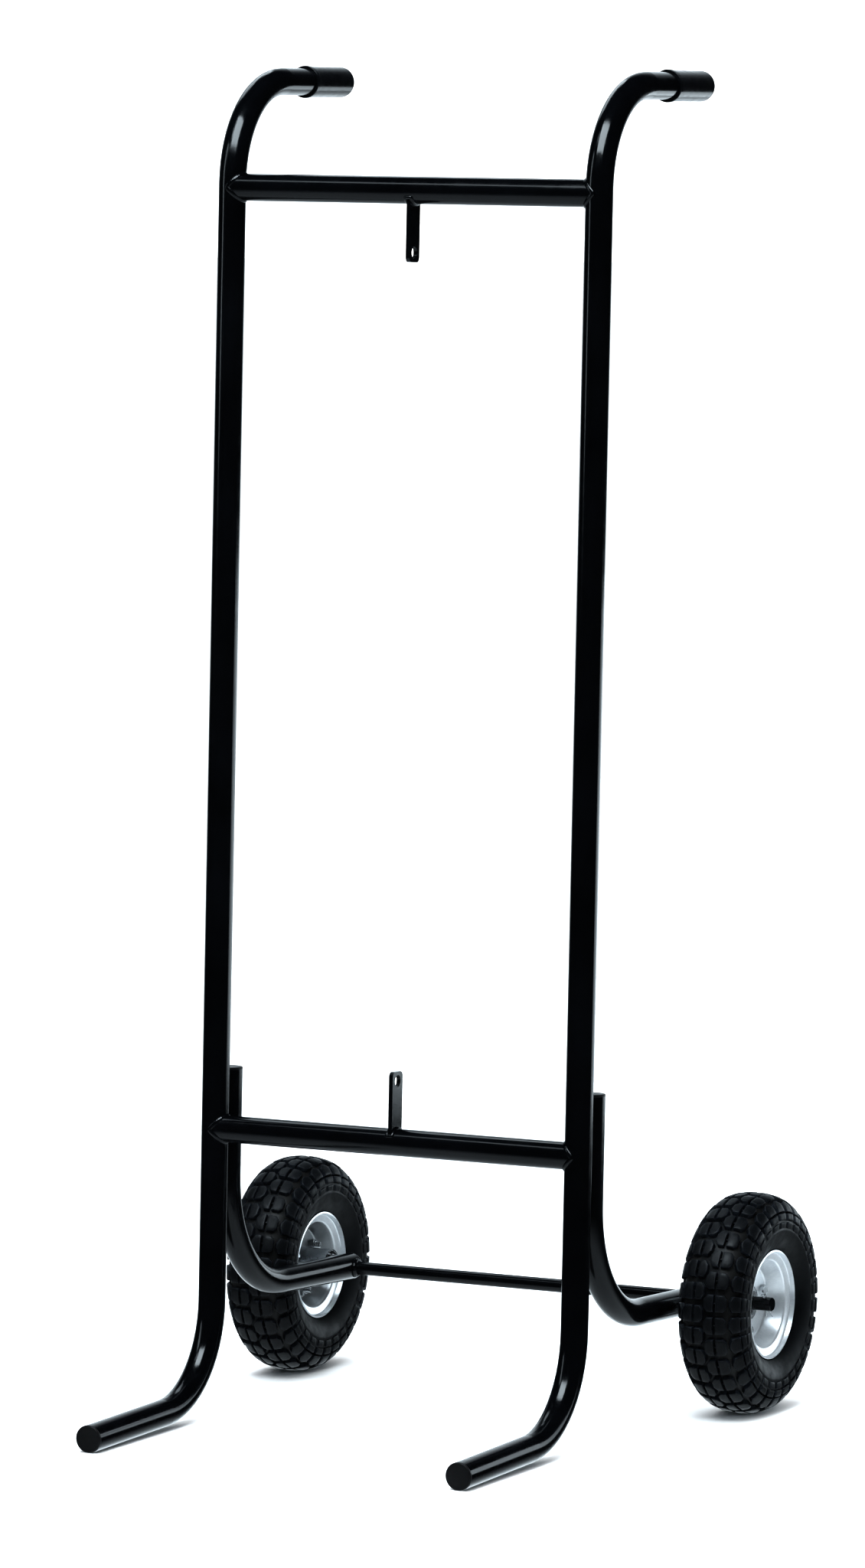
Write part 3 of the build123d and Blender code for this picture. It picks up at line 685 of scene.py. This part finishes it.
# The photograph's camera, found by fitting points of the model to it
CAMERA_AT = Vector((4.0108, -7.9706, 1.5524))
YAW, PITCH_DOWN, ROLL = math.radians(26.70), math.radians(5.162), math.radians(0.635)
SENSOR_HEIGHT, LENS = 36.0, 177.72          # mm
SIGHT = 200.0                               # metres: past the backdrop
camera_data = bpy.data.cameras.new("camera")
camera = bpy.data.objects.new("camera", camera_data)
bpy.context.scene.collection.objects.link(camera)
camera_data.sensor_fit = "VERTICAL"
camera_data.sensor_height = SENSOR_HEIGHT
camera_data.lens = LENS
camera_data.clip_end = SIGHT
level_ahead = Vector((-math.sin(YAW), math.cos(YAW), 0))
ahead = level_ahead * math.cos(PITCH_DOWN) - Vector((0, 0, math.sin(PITCH_DOWN)))
level_right = Vector((math.cos(YAW), math.sin(YAW), 0))
level_up = level_right.cross(ahead)
right = level_right * math.cos(ROLL) + level_up * math.sin(ROLL)
up = -level_right * math.sin(ROLL) + level_up * math.cos(ROLL)
camera.matrix_world = Matrix.Translation(CAMERA_AT) @ Matrix((right, up, -ahead)).transposed().to_4x4()
bpy.context.scene.camera = camera

# ---------------------------------------------------------------- floor, lights and surroundings

COOL = (0.84, 0.94, 1.0)                    # slightly blue light
FLOOR_WASH_STRENGTH = 2.7
FLOOR_WASH_SPREAD = math.radians(100)
FLOOR_REACH = 60.0                          # metres from the middle
BACKDROP_LOW, BACKDROP_HIGH = -1.0, 70.0
BACKDROP_SIDES = 48
# Name, place, aim, size in metres, power in watts, and whether it shows in reflections
SOFTBOXES = (
    ("overhead", (0.0, 0.6, 4.2), (0, 0, 0.4), (3.2, 2.2), 90.0, False),
    ("front_fill", (1.5, -5.5, 3.2), (0, 0, 0.5), (3.0, 3.0), 70.0, False),
    ("right_fill", (4.5, -0.5, 1.6), (0, 0.1, 0.3), (2.0, 2.0), 45.0, False),
    ("high_front", (0.25, -2.05, 4.0), (0.25, 0, 1.2), (2.8, 1.8), 160.0, True),
    ("high_left", (-1.6, -1.9, 3.95), (0, 0, 1.2), (1.2, 0.5), 5.0, True),
    ("low_rear", (1.3, 2.3, 0.42), (0, 0.25, 0.2), (2.4, 0.8), 12.0, True),
    ("high_rear", (-1.6, 1.4, 3.0), (0, 0.2, 0.3), (1.5, 0.9), 9.0, True),
    ("left_strip", (-3.0, -2.2, 2.2), (0, 0, 0.8), (0.5, 2.4), 14.0, True),
)


def stage_piece(name, corners, faces, material):
    """A floor or backdrop: it stays out of the reflections, so the enamel reads black."""
    mesh = bpy.data.meshes.new(name)
    mesh.from_pydata(corners, [], faces)
    mesh.materials.append(material)
    item = bpy.data.objects.new(name, mesh)
    bpy.context.scene.collection.objects.link(item)
    item.visible_glossy = False
    return item


def floor():
    n = Nodes("pale_floor")
    dark, light = (0.88, 0.88, 0.885), (0.90, 0.90, 0.905)
    colour = n.ramp(n.noise(3.0, detail=3.0), (NOISE_LOW, dark), (NOISE_HIGH, light))
    n.set(Base_Color=colour, Roughness=0.85, Specular_IOR_Level=0.2)
    corners = [(x * FLOOR_REACH, y * FLOOR_REACH, 0) for x, y in ((-1, -1), (1, -1), (1, 1), (-1, 1))]
    stage_piece("floor", corners, [(0, 1, 2, 3)], n.material)


def backdrop():
    """A round white wall that glows for the camera, and lights and shades nothing."""
    n = Nodes("white_backdrop")
    dark, light = (0.88, 0.88, 0.88), (0.90, 0.90, 0.90)
    colour = n.ramp(n.noise(0.1, detail=2.0), (NOISE_LOW, dark), (NOISE_HIGH, light))
    n.set(Base_Color=colour, Roughness=0.9, Emission_Color=(1.0, 1.0, 1.0, 1.0), Emission_Strength=1.1)
    ring = []
    for k in range(BACKDROP_SIDES):
        angle = 2 * math.pi * k / BACKDROP_SIDES
        ring.append((FLOOR_REACH * math.cos(angle), FLOOR_REACH * math.sin(angle)))
    corners = [(x, y, z) for z in (BACKDROP_LOW, BACKDROP_HIGH) for x, y in ring]
    faces = []
    for k in range(BACKDROP_SIDES):
        j = (k + 1) % BACKDROP_SIDES
        faces.append((k, j, BACKDROP_SIDES + j, BACKDROP_SIDES + k))
    item = stage_piece("backdrop", corners, faces, n.material)
    item.visible_diffuse = False
    item.visible_shadow = False


def softbox(name, at, towards, size, power, in_reflections):
    data = bpy.data.lights.new(name, "AREA")
    data.shape = "RECTANGLE"
    data.size, data.size_y = size
    data.energy = power
    data.color = COOL
    item = bpy.data.objects.new(name, data)
    bpy.context.scene.collection.objects.link(item)
    item.location = at
    item.rotation_euler = (Vector(towards) - Vector(at)).to_track_quat("-Z", "Y").to_euler()
    item.visible_glossy = in_reflections
    item.visible_camera = False


def floor_wash():
    """A very soft light from above that whitens the floor."""
    data = bpy.data.lights.new("floor_wash", "SUN")
    data.energy = FLOOR_WASH_STRENGTH
    data.angle = FLOOR_WASH_SPREAD
    item = bpy.data.objects.new("floor_wash", data)
    item.visible_glossy = False
    bpy.context.scene.collection.objects.link(item)


def surroundings():
    """A studio that is white behind the object, dark in front of it and above, and grey below."""
    world = bpy.data.worlds.new("studio")
    bpy.context.scene.world = world
    world.use_nodes = True
    tree = world.node_tree
    coords = tree.nodes.new("ShaderNodeTexCoord")
    facing = tree.nodes.new("ShaderNodeVectorMath")
    facing.operation = "DOT_PRODUCT"
    facing.inputs[1].default_value = (-math.sin(YAW), math.cos(YAW), 0.0)
    tree.links.new(coords.outputs["Generated"], facing.inputs[0])
    height = tree.nodes.new("ShaderNodeSeparateXYZ")
    tree.links.new(coords.outputs["Generated"], height.inputs["Vector"])

    def ramp(value, start, end, at_start, at_end):
        node = tree.nodes.new("ShaderNodeMapRange")
        node.interpolation_type = "SMOOTHSTEP"
        ends = {"From Min": start, "From Max": end, "To Min": at_start, "To Max": at_end}
        for key, number in ends.items():
            node.inputs[key].default_value = number
        tree.links.new(value, node.inputs["Value"])
        return node.outputs["Result"]

    def maths(kind, a, b):
        node = tree.nodes.new("ShaderNodeMath")
        node.operation = kind
        tree.links.new(a, node.inputs[0])
        tree.links.new(b, node.inputs[1])
        return node.outputs["Value"]

    # Starts and ends are parts of a direction of length 1: along the way the camera faces, and upwards
    behind = ramp(facing.outputs["Value"], start=0.69, end=0.95, at_start=0.012, at_end=1.15)
    ceiling = ramp(height.outputs["Z"], start=0.25, end=0.65, at_start=1.0, at_end=0.25)
    below = ramp(height.outputs["Z"], start=-0.60, end=-0.18, at_start=0.80, at_end=0.0)
    strength = maths("ADD", maths("MULTIPLY", behind, ceiling), below)
    tree.links.new(strength, tree.nodes["Background"].inputs["Strength"])
    tree.nodes["Background"].inputs["Color"].default_value = (*COOL, 1.0)


floor()
backdrop()
surroundings()
for name, at, towards, size, power, in_reflections in SOFTBOXES:
    softbox(name, at, towards, size, power, in_reflections)
floor_wash()
bpy.context.scene.view_settings.view_transform = "Standard"
bpy.context.scene.view_settings.look = "High Contrast"
